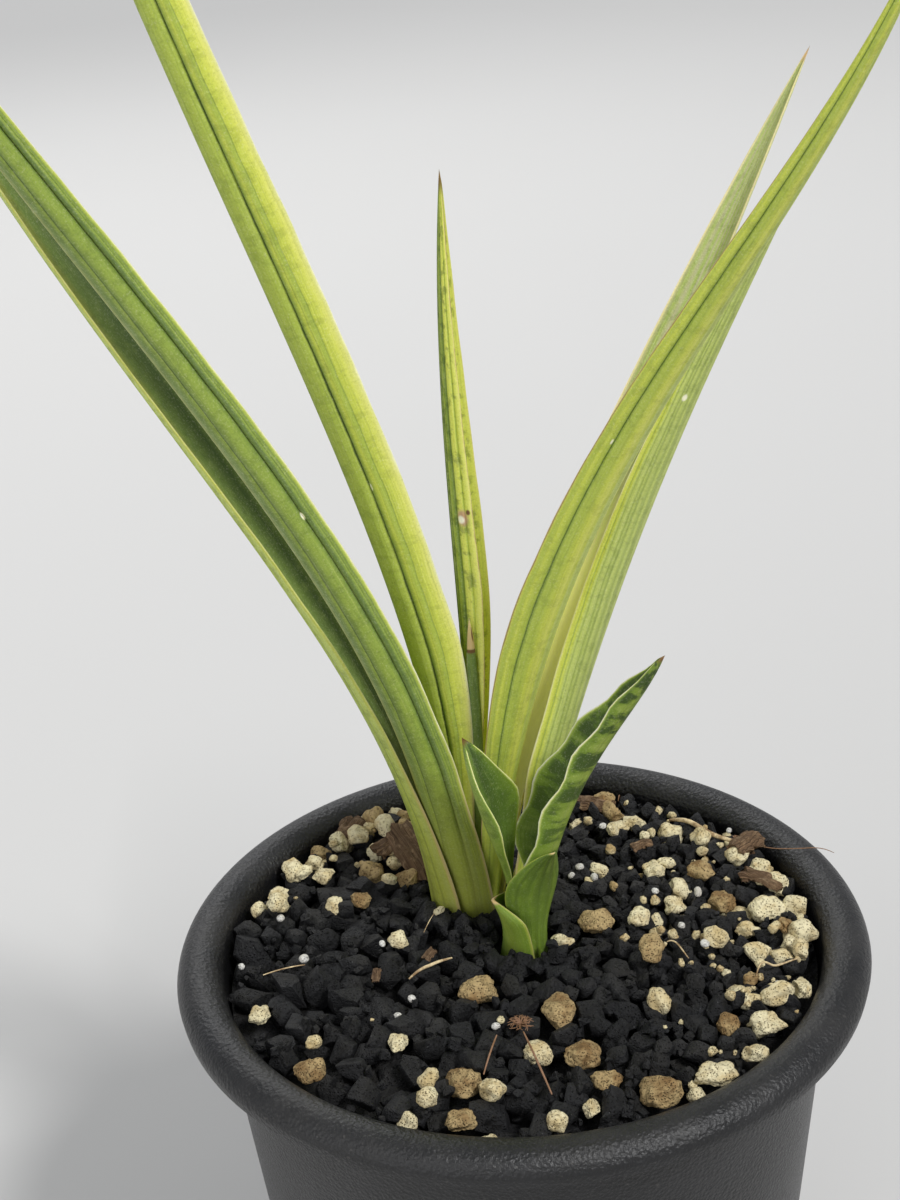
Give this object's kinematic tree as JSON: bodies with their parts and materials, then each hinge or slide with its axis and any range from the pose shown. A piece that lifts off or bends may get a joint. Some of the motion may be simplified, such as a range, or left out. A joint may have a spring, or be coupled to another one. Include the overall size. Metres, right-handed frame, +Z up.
{
  "type": "potted snake plant",
  "caption": "Potted royal crown snake plant with long channelled striped leaves and a young offset, in a round tapered plastic pot filled with black grit and pumice.",
  "frame": {"origin": "centre of the pot's flat base, on the ground", "axes": "+Z up, -Y towards the front of the plant, where the offset stands"},
  "size_m": [0.2315, 0.2201, 0.4517],
  "materials": {
    "pot_plastic": "black moulded plastic with a fine leather grain and a slight sheen",
    "black_grit": "matt, rough, near-black volcanic grains",
    "tan_pumice": "matt, porous tan pumice",
    "cream_pumice": "matt, porous cream pumice",
    "pale_leaf": null,
    "mid_leaf": null,
    "deep_leaf": null,
    "root_flesh": "dull orange-brown rhizome and roots"
  },
  "bodies": {
    "root": {"pot": "pot_plastic", "grit_bed": "black_grit", "rhizome": "root_flesh", "pumice_tan_1": "tan_pumice", "pumice_tan_2": "tan_pumice", "pumice_tan_3": "tan_pumice", "pumice_tan_4": "tan_pumice", "pumice_tan_5": "tan_pumice", "pumice_tan_6": "tan_pumice", "pumice_tan_7": "tan_pumice", "pumice_tan_8": "tan_pumice", "pumice_tan_9": "tan_pumice", "pumice_tan_10": "tan_pumice", "pumice_tan_11": "tan_pumice", "pumice_tan_12": "tan_pumice", "pumice_tan_13": "tan_pumice", "pumice_tan_14": "tan_pumice", "pumice_tan_15": "tan_pumice", "pumice_cream_1": "cream_pumice", "pumice_cream_2": "cream_pumice", "pumice_cream_3": "cream_pumice", "pumice_cream_4": "cream_pumice", "pumice_cream_5": "cream_pumice", "pumice_cream_6": "cream_pumice", "pumice_cream_7": "cream_pumice", "pumice_cream_8": "cream_pumice", "pumice_cream_9": "cream_pumice", "pumice_cream_10": "cream_pumice", "pumice_cream_11": "cream_pumice", "pumice_cream_12": "cream_pumice", "pumice_cream_13": "cream_pumice", "pumice_cream_14": "cream_pumice", "pumice_cream_15": "cream_pumice", "pumice_cream_16": "cream_pumice", "pumice_cream_17": "cream_pumice", "pumice_cream_18": "cream_pumice", "pumice_cream_19": "cream_pumice", "pumice_cream_20": "cream_pumice", "leaf_left_back": "mid_leaf", "leaf_left_front": "mid_leaf", "leaf_right_outer": "pale_leaf", "leaf_left_upper": "pale_leaf", "leaf_right_back": "pale_leaf", "leaf_right_front": "pale_leaf", "leaf_new": "deep_leaf", "leaf_centre": "mid_leaf", "offset_sheath_left": "deep_leaf", "offset_sheath_right": "deep_leaf", "offset_leaf_left": "deep_leaf", "offset_leaf_right": "deep_leaf"}
  },
  "joints": []
}
